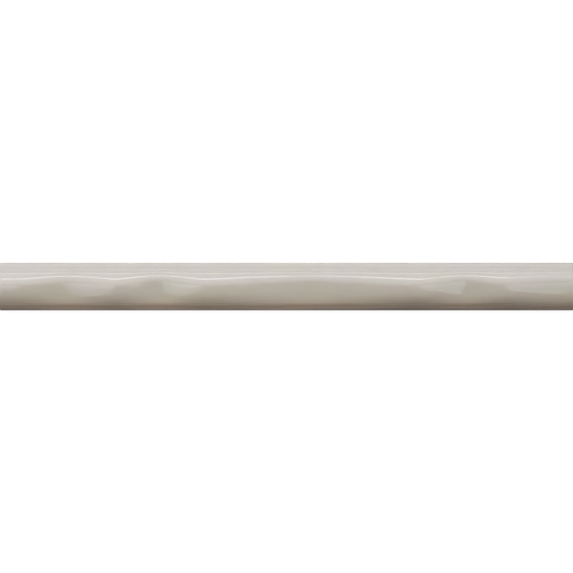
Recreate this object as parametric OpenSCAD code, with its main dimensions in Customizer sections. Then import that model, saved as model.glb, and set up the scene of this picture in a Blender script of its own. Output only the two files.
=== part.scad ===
// Pencil liner tile: one pressed and glazed ceramic trim piece, lying on its back.
// X runs along the liner, +Y points to the edge with the wide ledge, and +Z out of the glazed face.
// The origin is the middle of the flat back.

/* [Tile] */
// Length of the liner, end to end
tile_length = 300; // [150:5:400]
// Width of the liner, edge to edge
tile_width = 25; // [22:0.5:40]
// Height of the side walls, up to the corner where a ledge starts
wall_height = 6.4; // [3:0.2:9]
// Rounding of that corner along both long edges
edge_round = 0.6; // [0.3:0.1:1]
// Rounding of the glazed edges round both ends
end_round = 1.2; // [0.6:0.1:2]
// Bevel of the edges round the back
back_bevel = 0.5; // [0.2:0.1:1]

/* [Ledges] */
// Width of the ledge along the upper edge
upper_ledge = 3.9; // [2:0.1:6]
// Width of the ledge along the lower edge
lower_ledge = 1.8; // [1:0.1:3]
// Climb of both ledges, from the side wall to the foot of the bead
ledge_rise = 1.2; // [0.6:0.1:3]

/* [Bead] */
// Height of the full bead above its two feet
bead_height = 5.4; // [4:0.2:10]
// Width of the glaze fillet on each side of a fold at the foot of the bead
fold_fillet = 0.5; // [0.2:0.1:0.8]

/* [Hollows] */
// Depth of the deepest hollow in the crown of the bead
hollow_depth = 1.6; // [0:0.1:2.4]
// Length of liner after which the hollows repeat
hollow_repeat = 350; // [345:5:450]

/* [Keying slots] */
// Width of each slot in the back
slot_width = 3; // [1.5:0.5:5]
// Depth of each slot
slot_depth = 0.8; // [0.3:0.1:1.5]
// Length of each slot, with its round ends
slot_length = 62; // [20:1:100]
// Rib of back left between two slots, both ways
slot_rib = 3; // [2:0.5:6]
// Plain border of back left round all the slots
slot_border = 5; // [4:0.5:8]

/* [Hidden] */

// The hollows pressed into the crown: place from the left end, half length, and share of hollow_depth
HOLLOWS = [
    [36, 28, 0.80],
    [84, 25, 1.00],
    [130, 24, 0.30],
    [162, 42, 0.92],
    [194, 26, 0.36],
    [243, 26, 1.00],
    [293, 46, 0.85],
];
HOLLOW_LEAN = 0.2;    // share by which a hollow is deeper on its upper side, as the tile is pressed from there
LEDGE_CROWN = 0.02;   // bulge of a ledge over a straight slope, as a share of its width
BEAD_START = 22;      // degrees of the half ellipse left off at each foot of the bead
run_steps = 100;      // stretches between sections along the even run of the liner
round_steps = 3;      // sections in the rounding at each end
ledge_steps = 4;      // sides of each ledge between its two roundings
round_sides = 3;      // sides of the rounding at each long edge, and of the fillet in each fold
bead_steps = 24;      // sides of the bead
trim = 0.3;           // stock below the back, which is cut flat
overcut = 1;          // how far a cutter stands out of the face that it cuts

half_width = tile_width / 2;
run_end = tile_length / 2 - end_round;
bead_half = (tile_width - upper_ledge - lower_ledge) / 2;
bead_centre = (lower_ledge - upper_ledge) / 2;
foot_z = wall_height + ledge_rise;
top_z = foot_z + bead_height;
upper_foot = [half_width - upper_ledge, foot_z];
lower_foot = [-half_width + lower_ledge, foot_z];

// A smooth swelling that is 1 at its place and 0 from one half length away, and comes back with each repeat
function swell(along, place, half) =
    let (
        apart = abs(along - place) % hollow_repeat,
        away = min(apart, hollow_repeat - apart) / half
    )
    away < 1 ? (1 + cos(180 * away)) / 2 : 0;

function total(list, i = 0) = i < len(list) ? list[i] + total(list, i + 1) : 0;

function hollow_at(x) = total([for (h = HOLLOWS) h[2] * swell(x + tile_length / 2, h[0], h[1])]);

// A point of the bead's outline at an angle of its ellipse, where a hollow of that depth is pressed in.
// The pressing fades out towards both feet, so the folds stay straight.
function bead_point(angle, depth) =
    let (
        across = cos(angle) / cos(BEAD_START),
        arc = (sin(angle) - sin(BEAD_START)) / (1 - sin(BEAD_START)),
        pressing = pow(1 - across * across, 2) * depth * (1 + HOLLOW_LEAN * across)
    )
    [bead_centre + bead_half * across, foot_z + bead_height * arc - pressing];

// A point of a ledge at a distance in from the side wall
function ledge_point(inwards, side, width) =
    let (share = inwards / width)
    [
        side * (half_width - inwards),
        wall_height + ledge_rise * share + LEDGE_CROWN * width * 4 * share * (1 - share)
    ];

// A rounding that leaves one line at a, bends at the corner and joins the other line at b
function rounding(a, corner, b) =
    [for (i = [1:round_sides - 1]) let (t = i / round_sides)
        a * pow(1 - t, 2) + corner * 2 * t * (1 - t) + b * pow(t, 2)];

// The upper or lower ledge with the rounding at its edge, from the top of the straight wall to the fold's fillet
function ledge(side, width) =
    let (
        wall_top = [side * half_width, wall_height - edge_round],
        slope = [for (i = [0:ledge_steps])
            ledge_point(edge_round + (width - fold_fillet - edge_round) * i / ledge_steps, side, width)]
    )
    concat([wall_top], rounding(wall_top, [side * half_width, wall_height], slope[0]), slope);

function reversed(list) = [for (i = [len(list) - 1:-1:0]) list[i]];

// The angle of the ellipse at which the bead stands a fillet's width above its foot
fillet_angle = asin(sin(BEAD_START) + fold_fillet / bead_height * (1 - sin(BEAD_START)));

// The outline of one section, anticlockwise seen from +X, as [y, z] points.
// Its first two points and its last two are the bevels of the back, down to the foot of the stock.
function outline(depth) =
    let (
        upper = ledge(1, upper_ledge),
        lower = reversed(ledge(-1, lower_ledge)),
        bead = [for (i = [0:bead_steps])
            bead_point(fillet_angle + (180 - 2 * fillet_angle) * i / bead_steps, depth)],
        inner = half_width - back_bevel - trim
    )
    concat(
        [[inner, -trim], [half_width, back_bevel]],
        upper,
        rounding(upper[len(upper) - 1], upper_foot, bead[0]),
        bead,
        rounding(bead[bead_steps], lower_foot, lower[0]),
        lower,
        [[-half_width, back_bevel], [-inner, -trim]]
    );

// One section of the liner as [x, y, z] points. An inset draws its sides and its crown in by that much, and the
// ledges in step with them. It also lifts the foot of the stock, which bevels the back at the ends.
function section(x, inset) =
    let (
        points = outline(hollow_depth * hollow_at(x)),
        last = len(points) - 1,
        lift = (back_bevel + trim) * inset / end_round
    )
    [for (j = [0:last]) let (p = points[j] + [0, j == 0 || j == last ? lift : 0])
        [x, p[0] * (1 - inset / half_width), p[1] * (1 - inset / top_z)]];

// Where the sections of the rounded right end stand, as [x, inset], from the end inwards
end_stations = [for (i = [round_steps:-1:1])
    let (angle = 90 * i / round_steps) [run_end + end_round * sin(angle), end_round * (1 - cos(angle))]];

// Where all the sections stand: the rounded left end, the even run between, and the rounded right end
stations = concat(
    [for (s = end_stations) [-s[0], s[1]]],
    [for (i = [0:run_steps]) [-run_end + 2 * run_end * i / run_steps, 0]],
    reversed(end_stations)
);

// A closed solid through all the sections, with each end filled from a point inside its outline
module loft(sections) {
    n = len(sections[0]);
    last = len(sections) - 1;
    left_middle = (last + 1) * n;
    right_middle = left_middle + 1;
    skin = [for (i = [0:last - 1], j = [0:n - 1]) let (k = (j + 1) % n)
        each [[i * n + j, (i + 1) * n + j, (i + 1) * n + k], [i * n + j, (i + 1) * n + k, i * n + k]]];
    left_end = [for (j = [0:n - 1]) [left_middle, j, (j + 1) % n]];
    right_end = [for (j = [0:n - 1]) [right_middle, last * n + (j + 1) % n, last * n + j]];
    middles = [for (i = [0, last]) [sections[i][0][0], bead_centre, foot_z]];
    polyhedron(points = concat([for (s = sections) each s], middles), faces = concat(skin, left_end, right_end));
}

// Everything below the plane of the back
module below_back() {
    translate([0, 0, -overcut / 2])
        cube([tile_length + 2 * overcut, tile_width + 2 * overcut, overcut], center = true);
}

// How many slots of that size fit into a room, with a rib between each two
function fitting(room, size) = max(0, floor((room + slot_rib) / (size + slot_rib)));

// One keying slot, as long as its round ends reach, centred in the plane of the back
module slot() {
    straight = max(0, slot_length - slot_width);
    translate([0, 0, -overcut])
        linear_extrude(slot_depth + overcut)
            union() {
                square([straight, slot_width], center = true);
                for (side = [-1, 1]) translate([side * straight / 2, 0]) circle(d = slot_width, $fn = 48);
            }
}

// The rows of slots that key the back into the adhesive
module keying_slots() {
    columns = fitting(tile_length - 2 * slot_border, slot_length);
    rows = fitting(tile_width - 2 * slot_border, slot_width);
    for (i = [0:1:columns - 1], j = [0:1:rows - 1])
        translate([
            (i - (columns - 1) / 2) * (slot_length + slot_rib),
            (j - (rows - 1) / 2) * (slot_width + slot_rib),
            0
        ]) slot();
}

module liner_tile() {
    color([0.70, 0.67, 0.62])
        difference() {
            loft([for (s = stations) section(s[0], s[1])]);
            below_back();
            keying_slots();
        }
}

liner_tile();
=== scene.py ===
import math

import bmesh
import bpy
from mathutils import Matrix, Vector, noise


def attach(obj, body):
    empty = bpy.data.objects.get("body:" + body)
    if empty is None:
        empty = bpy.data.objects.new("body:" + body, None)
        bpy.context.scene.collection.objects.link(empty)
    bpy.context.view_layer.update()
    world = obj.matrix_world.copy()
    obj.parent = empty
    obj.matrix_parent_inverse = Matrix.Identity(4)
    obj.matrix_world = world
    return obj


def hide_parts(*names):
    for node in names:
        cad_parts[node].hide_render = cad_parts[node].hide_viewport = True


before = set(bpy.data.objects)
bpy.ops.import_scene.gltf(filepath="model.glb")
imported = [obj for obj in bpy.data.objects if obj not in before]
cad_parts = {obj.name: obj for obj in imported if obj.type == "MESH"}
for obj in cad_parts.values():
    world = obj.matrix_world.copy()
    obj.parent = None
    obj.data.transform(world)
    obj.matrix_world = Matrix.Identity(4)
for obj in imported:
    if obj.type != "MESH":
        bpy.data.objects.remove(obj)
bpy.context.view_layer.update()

MM = 0.001

# The tile's section and waves, as in the frame's own solid, in millimetres
TILE_LENGTH = 300.0
TILE_WIDTH = 25.0
WALL_HEIGHT = 6.4
EDGE_ROUND = 0.6
END_ROUND = 1.2
BACK_BEVEL = 0.5
UPPER_LEDGE = 3.9
LOWER_LEDGE = 1.8
LEDGE_RISE = 1.2
LEDGE_CROWN = 0.02
BEAD_HEIGHT = 5.4
BEAD_START = math.radians(22)
FOLD_FILLET = 0.5
HOLLOW_DEPTH = 1.6
HOLLOW_LEAN = 0.2
# Place from the left end, half length, and share of the depth
HOLLOWS = [(36, 28, 0.80), (84, 25, 1.00), (130, 24, 0.30), (162, 42, 0.92), (194, 26, 0.36), (243, 26, 1.00),
           (293, 46, 0.85)]
SLOT_WIDTH = 3.0
SLOT_DEPTH = 0.8
SLOT_LENGTH = 62.0
SLOT_RIB = 3.0
SLOT_COLUMNS = 4
SLOT_ROWS = 3
OVERCUT = 1.0

# What the fired surface adds: where the glaze stops above the back, how thick it is there, and its slight ripple
GLAZE_LINE = 1.35
GLAZE_WANDER = 0.3
GLAZE_THICKNESS = 0.18
RIPPLE_DEPTH = 0.1
# The side walls take the tone of this share down the width, from this far below the ledges
WALL_TONE = 0.5
WALL_FADE = 2.0

# How finely the surface is made
RUN_STEPS = 480
ROUND_STEPS = 8
LEDGE_STEPS = 10
ROUND_SIDES = 8
BEAD_STEPS = 68
WALL_STEPS = 5
CAP_COLUMNS = 14
SLOT_END_SIDES = 12
# How far the floor reaches in under the tile
FLOOR_LAP = 2.0

half_width = TILE_WIDTH / 2
half_length = TILE_LENGTH / 2
bead_half = (TILE_WIDTH - UPPER_LEDGE - LOWER_LEDGE) / 2
bead_centre = (LOWER_LEDGE - UPPER_LEDGE) / 2
foot_z = WALL_HEIGHT + LEDGE_RISE
top_z = foot_z + BEAD_HEIGHT


def hollow_at(x):
    """Share of the full hollow depth at a place along the tile."""
    out = 0.0
    for place, half, share in HOLLOWS:
        away = abs(x + half_length - place) / half
        if away < 1:
            out += share * (1 + math.cos(math.pi * away)) / 2
    return out


def glaze_line(x, y):
    """Height above the back at which the glaze stops, wandering round the tile's foot."""
    broad = noise.noise((x * 0.09, y * 0.09, 3.7))
    fine = noise.noise((x * 0.55, y * 0.55, 8.1))
    return GLAZE_LINE + GLAZE_WANDER * (0.75 * broad + 0.25 * fine)


def ripple(x, y):
    """How far the melted glaze lies below the pressed form, never above it."""
    broad = noise.noise((x * 0.035, y * 0.09, 1.3))
    fine = noise.noise((x * 0.11, y * 0.22, 5.9))
    return RIPPLE_DEPTH * (0.5 + 0.35 * broad + 0.15 * fine)


def share_between(value, start, end):
    return max(0.0, min(1.0, (value - start) / (end - start)))


def painted_flank_light(along, down):
    """How much paler the glaze is painted, to stand in for light and shade: on the lower flank it is pale between the
    hollows and in the middle of the tile, and at the foot it is pale below the hollows and dark towards the right end."""
    hollow = hollow_at(along * half_length)
    flank = 0.06 - 0.06 * abs(along) - 0.055 * hollow
    foot = -0.12 - 0.04 * along - 0.24 * max(0.0, along) + 0.35 * hollow
    return flank * share_between(down, 0.40, 0.50) + foot * share_between(down, 0.68, 0.84)


def bead_point(angle, depth):
    across = math.cos(angle) / math.cos(BEAD_START)
    arc = (math.sin(angle) - math.sin(BEAD_START)) / (1 - math.sin(BEAD_START))
    pressing = (1 - across * across) ** 2 * depth * (1 + HOLLOW_LEAN * across)
    return (bead_centre + bead_half * across, foot_z + BEAD_HEIGHT * arc - pressing)


def ledge_point(inwards, side, width):
    share = inwards / width
    return (side * (half_width - inwards),
            WALL_HEIGHT + LEDGE_RISE * share + LEDGE_CROWN * width * 4 * share * (1 - share))


def rounding(a, corner, b):
    """A curve that leaves one line at a, bends at the corner and joins the other line at b."""
    out = []
    for i in range(1, ROUND_SIDES):
        t = i / ROUND_SIDES
        out.append(tuple(a[k] * (1 - t) ** 2 + corner[k] * 2 * t * (1 - t) + b[k] * t * t for k in (0, 1)))
    return out


def ledge(side, width):
    wall_top = (side * half_width, WALL_HEIGHT - EDGE_ROUND)
    stretch = width - FOLD_FILLET - EDGE_ROUND
    slope = [ledge_point(EDGE_ROUND + stretch * i / LEDGE_STEPS, side, width) for i in range(LEDGE_STEPS + 1)]
    return [wall_top] + rounding(wall_top, (side * half_width, WALL_HEIGHT), slope[0]) + slope


def glazed_outline(depth):
    """The section above its two side walls, from the upper wall's top over the bead to the lower wall's top."""
    fillet_angle = math.asin(math.sin(BEAD_START) + FOLD_FILLET / BEAD_HEIGHT * (1 - math.sin(BEAD_START)))
    upper = ledge(1, UPPER_LEDGE)
    lower = ledge(-1, LOWER_LEDGE)[::-1]
    bead = [bead_point(fillet_angle + (math.pi - 2 * fillet_angle) * i / BEAD_STEPS, depth)
            for i in range(BEAD_STEPS + 1)]
    return (upper + rounding(upper[-1], (half_width - UPPER_LEDGE, foot_z), bead[0]) + bead
            + rounding(bead[-1], (-half_width + LOWER_LEDGE, foot_z), lower[0]) + lower)


def wall_rows(x, y, top):
    """The rows of a side wall or an end, from the back's bevel up, as (height, how far the bare clay lies in)."""
    line = glaze_line(x, y)
    rows = [(BACK_BEVEL, 1.0), (line - 0.3, 1.0), (line - 0.1, 1.0), (line - 0.03, 0.6), (line + 0.05, 0.15)]
    start = line + 0.2
    rows += [(start + (top - start) * i / WALL_STEPS, 0.0) for i in range(WALL_STEPS)]
    return [(height, share * GLAZE_THICKNESS) for height, share in rows]


def section(x, inset):
    """One ring of the tile, anticlockwise seen from +X, in millimetres; an inset draws it in for the end's rounding."""
    narrow = 1 - inset / half_width
    low = 1 - inset / top_z
    end_share = inset / END_ROUND
    wall_top = (WALL_HEIGHT - EDGE_ROUND) * low
    ring = []
    sides = {}
    for side in (1, -1):
        y = side * (half_width - inset)
        foot = (x - math.copysign(GLAZE_THICKNESS * end_share, x),
                side * ((half_width - BACK_BEVEL) * narrow - GLAZE_THICKNESS), BACK_BEVEL * end_share)
        sides[side] = [foot] + [(x - math.copysign(clay * end_share, x), y - side * clay, height)
                                for height, clay in wall_rows(x, y, wall_top)]
    for y, z in glazed_outline(HOLLOW_DEPTH * hollow_at(x)):
        fall = ripple(x, y) * min(1.0, max(0.0, (half_width - abs(y)) / EDGE_ROUND))
        ring.append((x, y * narrow, z * low - fall))
    return sides[1] + ring + sides[-1][::-1]


def stations():
    """Where the rings stand along the tile, as (x, inset)."""
    run_end = half_length - END_ROUND
    right = []
    for i in range(ROUND_STEPS, 0, -1):
        angle = math.pi / 2 * i / ROUND_STEPS
        right.append((run_end + END_ROUND * math.sin(angle), END_ROUND * (1 - math.cos(angle))))
    run = [(-run_end + 2 * run_end * i / RUN_STEPS, 0.0) for i in range(RUN_STEPS + 1)]
    return [(-x, inset) for x, inset in right] + run + right[::-1]


def end_cap(verts, ring, x, rows):
    """The flat end inside a ring: a grid up to the wall tops, and one face above it. Returns faces and foot verts."""
    count = len(ring)
    right_foot, left_foot = verts[ring[0]], verts[ring[-1]]
    wall_top = verts[ring[rows + 1]][2]
    grid = []
    for row in range(rows + 1):
        line = []
        for column in range(CAP_COLUMNS + 1):
            y = right_foot[1] + (left_foot[1] - right_foot[1]) * column / CAP_COLUMNS
            if row == 0 and column in (0, CAP_COLUMNS):
                line.append(ring[0] if column == 0 else ring[-1])
                continue
            if row == rows:
                height, clay = wall_top, 0.0
            else:
                height, clay = wall_rows(x, y, wall_top)[row]
            line.append(len(verts))
            verts.append((x - math.copysign(clay, x), y, height))
        grid.append([ring[1 + row]] + line + [ring[count - 2 - row]])
    faces = []
    for low, high in zip(grid, grid[1:]):
        for a, b, c, d in zip(low, high, high[1:], low[1:]):
            faces.append((a, b, c, d))
    faces.append(tuple(ring[rows + 1:count - 1 - rows]) + tuple(grid[-1][-2:0:-1]))
    return faces, grid[0][2:-2]


def body_mesh():
    rings = [section(x, inset) for x, inset in stations()]
    count = len(rings[0])
    last = len(rings) - 1
    rows = WALL_STEPS + 5
    verts = [point for ring in rings for point in ring]
    left_ring = list(range(count))
    right_ring = list(range(last * count, (last + 1) * count))
    left_faces, left_foot = end_cap(verts, left_ring, rings[0][count // 2][0], rows)
    right_faces, right_foot = end_cap(verts, right_ring, rings[last][count // 2][0], rows)
    faces = [face[::-1] for face in left_faces] + right_faces
    for i in range(last):
        for j in range(count):
            k = (j + 1) % count
            a, b = [i * count + j], [i * count + k]
            c, d = [(i + 1) * count + k], [(i + 1) * count + j]
            if k == 0 and i == 0:
                a = a + left_foot[::-1]
            if k == 0 and i == last - 1:
                c = c + right_foot
            faces.append(tuple(a + b + c + d))
    mesh = bpy.data.meshes.new("liner_tile_fired")
    mesh.from_pydata([[value * MM for value in point] for point in verts], [], faces)
    mesh.update()
    return mesh


def slot_cutters():
    """The keying slots of the back, as one mesh of round-ended bars."""
    mesh = bmesh.new()
    straight = (SLOT_LENGTH - SLOT_WIDTH) / 2
    for column in range(SLOT_COLUMNS):
        for row in range(SLOT_ROWS):
            x0 = (column - (SLOT_COLUMNS - 1) / 2) * (SLOT_LENGTH + SLOT_RIB)
            y0 = (row - (SLOT_ROWS - 1) / 2) * (SLOT_WIDTH + SLOT_RIB)
            loop = []
            for side in (1, -1):
                for i in range(SLOT_END_SIDES + 1):
                    angle = math.pi * (i / SLOT_END_SIDES - 0.5) + (0 if side == 1 else math.pi)
                    loop.append((x0 + side * straight + SLOT_WIDTH / 2 * math.cos(angle),
                                 y0 + SLOT_WIDTH / 2 * math.sin(angle)))
            low = [mesh.verts.new((x * MM, y * MM, -OVERCUT * MM)) for x, y in loop]
            high = [mesh.verts.new((x * MM, y * MM, SLOT_DEPTH * MM)) for x, y in loop]
            mesh.faces.new(low[::-1])
            mesh.faces.new(high)
            for i in range(len(loop)):
                k = (i + 1) % len(loop)
                mesh.faces.new((low[i], low[k], high[k], high[i]))
    data = bpy.data.meshes.new("slot_cutters")
    mesh.to_mesh(data)
    mesh.free()
    return data


tile = bpy.data.objects.new("liner_tile_fired", body_mesh())
bpy.context.scene.collection.objects.link(tile)
cutter = bpy.data.objects.new("slot_cutters", slot_cutters())
bpy.context.scene.collection.objects.link(cutter)
cut = tile.modifiers.new("slots", "BOOLEAN")
cut.operation = "DIFFERENCE"
cut.solver = "EXACT"
cut.object = cutter
fired = bpy.data.meshes.new_from_object(tile.evaluated_get(bpy.context.evaluated_depsgraph_get()))
tile.modifiers.clear()
tile.data = fired
bpy.data.objects.remove(cutter)

# Where each point lies on the glazed face, for the materials: down the width and in the hollows, and the painted light
# and shade of the lower flank and foot
down = fired.attributes.new("down", "FLOAT", "POINT")
hollow = fired.attributes.new("hollow", "FLOAT", "POINT")
# The run attribute holds painted light and shade for the lower flank and foot
run = fired.attributes.new("run", "FLOAT", "POINT")
for vertex in fired.vertices:
    x, y, z = vertex.co / MM
    below_ledge = share_between(z, WALL_HEIGHT, WALL_HEIGHT - WALL_FADE)
    width_share = (half_width - y) / TILE_WIDTH * (1 - below_ledge) + WALL_TONE * below_ledge
    down.data[vertex.index].value = width_share
    across = max(-1.0, min(1.0, (y - bead_centre) / bead_half))
    hollow.data[vertex.index].value = hollow_at(x) * (1 - across * across)
    run.data[vertex.index].value = painted_flank_light(x / half_length, width_share)
GLAZED, BARE = 0, 1
for polygon in fired.polygons:
    centre = polygon.center / MM
    polygon.material_index = BARE if centre.z < glaze_line(centre.x, centre.y) - 0.01 else GLAZED
    polygon.use_smooth = True
fired.set_sharp_from_angle(angle=math.radians(40))

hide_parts("liner_tile")
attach(tile, "root")


def new_material(name):
    material = bpy.data.materials.new(name)
    material.use_nodes = True
    return material, material.node_tree, material.node_tree.nodes["Principled BSDF"]


def add_node(tree, kind, **values):
    node = tree.nodes.new(kind)
    for key, value in values.items():
        setattr(node, key, value)
    return node


def colour_ramp(tree, source, stops):
    """A ramp over a source, through (place, colour) stops."""
    ramp = add_node(tree, "ShaderNodeValToRGB")
    elements = ramp.color_ramp.elements
    ordered = sorted(stops)
    elements[0].position, elements[1].position = ordered[0][0], ordered[-1][0]
    elements[0].color, elements[1].color = (*ordered[0][1], 1), (*ordered[-1][1], 1)
    for place, colour in ordered[1:-1]:
        elements.new(place).color = (*colour, 1)
    tree.links.new(source, ramp.inputs[0])
    return ramp.outputs[0]


def grain(tree, scale, detail, stretch=(1, 1, 1)):
    """Noise in the tile's own coordinates, at so many cells a metre."""
    place = add_node(tree, "ShaderNodeTexCoord")
    mapping = add_node(tree, "ShaderNodeMapping")
    mapping.inputs["Scale"].default_value = stretch
    field = add_node(tree, "ShaderNodeTexNoise")
    field.inputs["Scale"].default_value = scale
    field.inputs["Detail"].default_value = detail
    tree.links.new(place.outputs["Object"], mapping.inputs["Vector"])
    tree.links.new(mapping.outputs[0], field.inputs["Vector"])
    return field.outputs[0]


def calculate(tree, operation, *values):
    node = add_node(tree, "ShaderNodeMath", operation=operation)
    for index, value in enumerate(values):
        if isinstance(value, (int, float)):
            node.inputs[index].default_value = value
        else:
            tree.links.new(value, node.inputs[index])
    return node.outputs[0]


def attribute(tree, name):
    return add_node(tree, "ShaderNodeAttribute", attribute_name=name).outputs["Fac"]


def mixed(tree, blend, share, a, b):
    node = add_node(tree, "ShaderNodeMix", data_type="RGBA", blend_type=blend)
    for socket, value in ((node.inputs[0], share), (node.inputs[6], a), (node.inputs[7], b)):
        if isinstance(value, (int, float)):
            socket.default_value = value
        elif isinstance(value, tuple):
            socket.default_value = (*value, 1)
        else:
            tree.links.new(value, socket)
    return node.outputs[2]


# Greige glaze, pale and cool near the upper edge; its steps down the width paint light and shade: a darker upper arris,
# and brown painted shade deepening towards the lower edge, darkest at the foot of the bead, with a paler lower ledge
# and a dark lower arris
glaze, tree, shader = new_material("greige_glaze")
drift = calculate(tree, "MULTIPLY_ADD", grain(tree, 28, 2, (1, 2.5, 2.5)), 0.05, -0.025)
level = calculate(tree, "ADD", attribute(tree, "down"), drift)
body = colour_ramp(tree, level, [
    # This first stop paints shade on the upper arris
    (0.0, (0.300, 0.285, 0.280)),
    (0.045, (0.418, 0.391, 0.369)),
    (0.10, (0.390, 0.363, 0.341)),
    (0.24, (0.388, 0.361, 0.339)),
    (0.30, (0.402, 0.375, 0.357)),
    (0.50, (0.396, 0.364, 0.331)),
    (0.66, (0.406, 0.373, 0.329)),
    (0.76, (0.410, 0.366, 0.315)),
    (0.844, (0.424, 0.372, 0.320)),
    # From here the stops paint the shade under the bead in dark brown, with a paler band on the lower ledge and dark at
    # the lower arris
    (0.880, (0.345, 0.277, 0.200)),
    (0.908, (0.192, 0.120, 0.052)),
    (0.945, (0.315, 0.254, 0.222)),
    (1.0, (0.150, 0.136, 0.130)),
])
# The hollows across the bead are darkened a few percent with a faint olive cast: painted shade
hollow_painted_shade = mixed(tree, "MULTIPLY", calculate(tree, "MULTIPLY", attribute(tree, "hollow"), 0.5), body, (0.92, 0.93, 0.90))
patches = colour_ramp(tree, grain(tree, 45, 2, (1, 2, 2)), [(0.38, (1.0, 0.98, 0.985)), (0.62, (1.0, 0.995, 0.955))])
patched = mixed(tree, "MULTIPLY", 1.0, hollow_painted_shade, patches)
mottle = calculate(tree, "MULTIPLY_ADD", grain(tree, 160, 4, (1, 1.6, 1.6)), 0.10, 0.95)
tone = add_node(tree, "ShaderNodeHueSaturation")
# The run attribute lifts or lowers the glaze's value: painted light and shade on the lower flank and foot
tree.links.new(calculate(tree, "ADD", mottle, attribute(tree, "run")), tone.inputs["Value"])
tree.links.new(patched, tone.inputs["Color"])
tree.links.new(tone.outputs[0], shader.inputs["Base Color"])
tree.links.new(calculate(tree, "MULTIPLY_ADD", grain(tree, 350, 3), 0.06, 0.045), shader.inputs["Roughness"])
shader.inputs["IOR"].default_value = 1.5
peel = add_node(tree, "ShaderNodeBump")
peel.inputs["Strength"].default_value = 0.06
peel.inputs["Distance"].default_value = 0.0002
tree.links.new(grain(tree, 420, 2), peel.inputs["Height"])
tree.links.new(peel.outputs[0], shader.inputs["Normal"])
fired.materials.append(glaze)

# Bare pressed clay of the back and of the foot below the glaze
clay, tree, shader = new_material("pale_clay")
sand = grain(tree, 2600, 5)
stain = grain(tree, 60, 3)
pale = colour_ramp(tree, sand, [(0.30, (0.50, 0.43, 0.35)), (0.62, (0.66, 0.60, 0.52))])
tree.links.new(mixed(tree, "MULTIPLY", stain, pale, (0.86, 0.82, 0.78)), shader.inputs["Base Color"])
tree.links.new(calculate(tree, "MULTIPLY_ADD", sand, 0.15, 0.78), shader.inputs["Roughness"])
pits = add_node(tree, "ShaderNodeBump")
pits.inputs["Strength"].default_value = 0.5
pits.inputs["Distance"].default_value = 0.0002
tree.links.new(sand, pits.inputs["Height"])
tree.links.new(pits.outputs[0], shader.inputs["Normal"])
fired.materials.append(clay)


def graded_panel(name, centre, size, aim, turn, radiance, layers, colour):
    """A soft box with a graded diffuser. Each layer adds the product of two ramps, up its height and along its
    width, given as (share of the side, level)."""
    data = bpy.data.lights.new(name, "AREA")
    data.shape = "RECTANGLE"
    data.size, data.size_y = size
    data.energy = radiance * size[0] * size[1] * math.pi
    data.color = colour
    data.use_nodes = True
    tree = data.node_tree
    place = add_node(tree, "ShaderNodeNewGeometry")
    axes = add_node(tree, "ShaderNodeSeparateXYZ")
    tree.links.new(place.outputs["Parametric"], axes.inputs[0])
    strength = 0.0
    for layer in layers:
        up, along = (colour_ramp(tree, axes.outputs[axis], [(share, (level, level, level)) for share, level in stops])
                     for axis, stops in zip((1, 0), layer))
        strength = calculate(tree, "MULTIPLY_ADD", up, along, strength)
    tree.links.new(strength, tree.nodes["Emission"].inputs["Strength"])
    lamp = bpy.data.objects.new(name, data)
    lamp.location = centre
    lamp.rotation_euler = (Vector(aim) - Vector(centre)).to_track_quat("-Z", "Y").to_euler()
    lamp.rotation_euler.z += math.radians(turn)
    lamp.visible_camera = False
    bpy.context.scene.collection.objects.link(lamp)


def wall_panel(name, x0, x1, angle0, angle1, distance, layers, colour):
    """A panel facing the tile, between two angles off the vertical towards +Y. A layer is a list of
    (angle, radiance) and a list of (x, level)."""
    middle = math.radians((angle0 + angle1) / 2)
    half = distance * math.tan(math.radians(angle1 - angle0) / 2)
    peak = max(level for up, along in layers for angle, level in up)
    shares = [([((half - distance * math.tan(math.radians(angle) - middle)) / (2 * half), level / peak)
                for angle, level in up], [((x1 - place) / (x1 - x0), level) for place, level in along])
              for up, along in layers]
    x = (x0 + x1) / 2
    centre = (x, distance * math.sin(middle), distance * math.cos(middle))
    graded_panel(name, centre, (x1 - x0, 2 * half), (x, 0, 0), 0, peak, shares, colour)


def roof_panel(name, x0, x1, angle0, angle1, height, turn, layer, colour):
    """A level panel overhead, its edges and its layer given as for a wall panel, and then turned in its plane."""
    y0, y1 = (height * math.tan(math.radians(angle)) for angle in (angle0, angle1))
    levels, widthways = layer
    peak = max(level for angle, level in levels)
    up = [((height * math.tan(math.radians(angle)) - y0) / (y1 - y0), level / peak) for angle, level in levels]
    along = [((place - x0) / (x1 - x0), level) for place, level in widthways]
    centre = ((x0 + x1) / 2, (y0 + y1) / 2, height)
    graded_panel(name, centre, (x1 - x0, y1 - y0), (centre[0], centre[1], 0), turn, peak, [(up, along)], colour)


COOL = (0.92, 0.975, 1)
SKY = (0.83, 0.93, 1)
BROAD = ([(13, 0.1), (18, 1.8), (26, 2.3), (34, 2.6), (50, 2.3), (60, 1.9), (88, 1.7)],
         [(-1.2, 1), (-0.28, 1), (-0.16, 0.9), (0.02, 0.92), (0.14, 0.96), (0.6, 0.96)])
STRIP = ([(43.5, 0), (44.8, 7.5), (48.6, 7.5), (50, 0)],
         [(-1.2, 0.5), (-0.3, 0.6), (-0.2, 0.9), (0.16, 1), (0.25, 0.2), (0.6, 0.2)])
LOW_STRIP = ([(80, 0), (82, 3), (88, 3)], [(-1.2, 1), (0.6, 1)])
wall_panel("key", -1.2, 0.6, 13, 88, 1.2, [BROAD, STRIP, LOW_STRIP], COOL)
roof_panel("side_left", -1.0, -0.25, -26.8, 14.7, 1.6, -9,
           ([(-26.8, 0), (-26, 4.0), (-24, 3.0), (-20, 2.6), (-14, 2.0), (-8, 1.8), (0, 1.8), (9, 2.6), (14.7, 4.2)],
            [(-1.0, 0.7), (-0.44, 1), (-0.38, 1), (-0.34, 0.72), (-0.25, 0.72)]), SKY)
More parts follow.
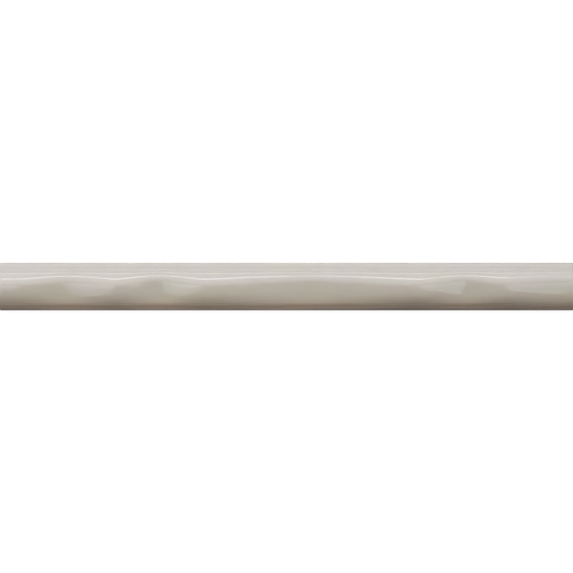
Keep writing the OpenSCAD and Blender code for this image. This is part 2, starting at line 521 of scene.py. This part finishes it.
roof_panel("side_right", 0.20, 1.0, -5.2, 15.5, 1.6, 13,
           ([(-5.2, 0), (-4.4, 3.4), (-2.7, 2.5), (0, 1.9), (4, 1.7), (8, 2.1), (15.5, 2.9)],
            [(0.20, 1), (1.0, 1)]), SKY)

world = bpy.data.worlds.new("studio")
bpy.context.scene.world = world
world.use_nodes = True
world.node_tree.nodes["Background"].inputs["Color"].default_value = (1, 0.85, 0.70, 1)
world.node_tree.nodes["Background"].inputs["Strength"].default_value = 0.36

# Pale floor that shows white to the camera and in reflections, and keeps the tile's shadow. It is open under the
# tile, inside its footprint, so the keyed back can be looked at from below.
FLOOR_HALF = 3
rim_x, rim_y = (half_length - FLOOR_LAP) * MM, (half_width - FLOOR_LAP) * MM
corners = [(-1, -1), (1, -1), (1, 1), (-1, 1)]
floor_mesh = bpy.data.meshes.new("floor")
floor_mesh.from_pydata([(x * FLOOR_HALF, y * FLOOR_HALF, 0) for x, y in corners]
                       + [(x * rim_x, y * rim_y, 0) for x, y in corners], [],
                       [(i, (i + 1) % 4, (i + 1) % 4 + 4, i + 4) for i in range(4)])
floor = bpy.data.objects.new("floor", floor_mesh)
bpy.context.scene.collection.objects.link(floor)
white, tree, shader = new_material("white_floor")
shader.inputs["Base Color"].default_value = (0.3, 0.3, 0.3, 1)
shader.inputs["Roughness"].default_value = 1.0
shader.inputs["Emission Color"].default_value = (1, 1, 1, 1)
rays = add_node(tree, "ShaderNodeLightPath")
seen = calculate(tree, "MAXIMUM", rays.outputs["Is Camera Ray"], rays.outputs["Is Glossy Ray"])
seen = calculate(tree, "MAXIMUM", seen, rays.outputs["Is Transmission Ray"])
tree.links.new(calculate(tree, "MULTIPLY", seen, 0.85), shader.inputs["Emission Strength"])
floor_mesh.materials.append(white)

# The camera looks straight down, and its view's width is a hair inside the tile's length, as in the photograph
VIEW_WIDTH = 298.5
camera_data = bpy.data.cameras.new("camera")
camera_data.sensor_width = 36
camera_data.lens = 240
camera_data.clip_end = 20
camera = bpy.data.objects.new("camera", camera_data)
distance = camera_data.lens / camera_data.sensor_width * VIEW_WIDTH * MM
camera.location = (0, 0, distance + WALL_HEIGHT * MM)
bpy.context.scene.collection.objects.link(camera)
bpy.context.scene.camera = camera
bpy.context.scene.view_settings.view_transform = "Standard"
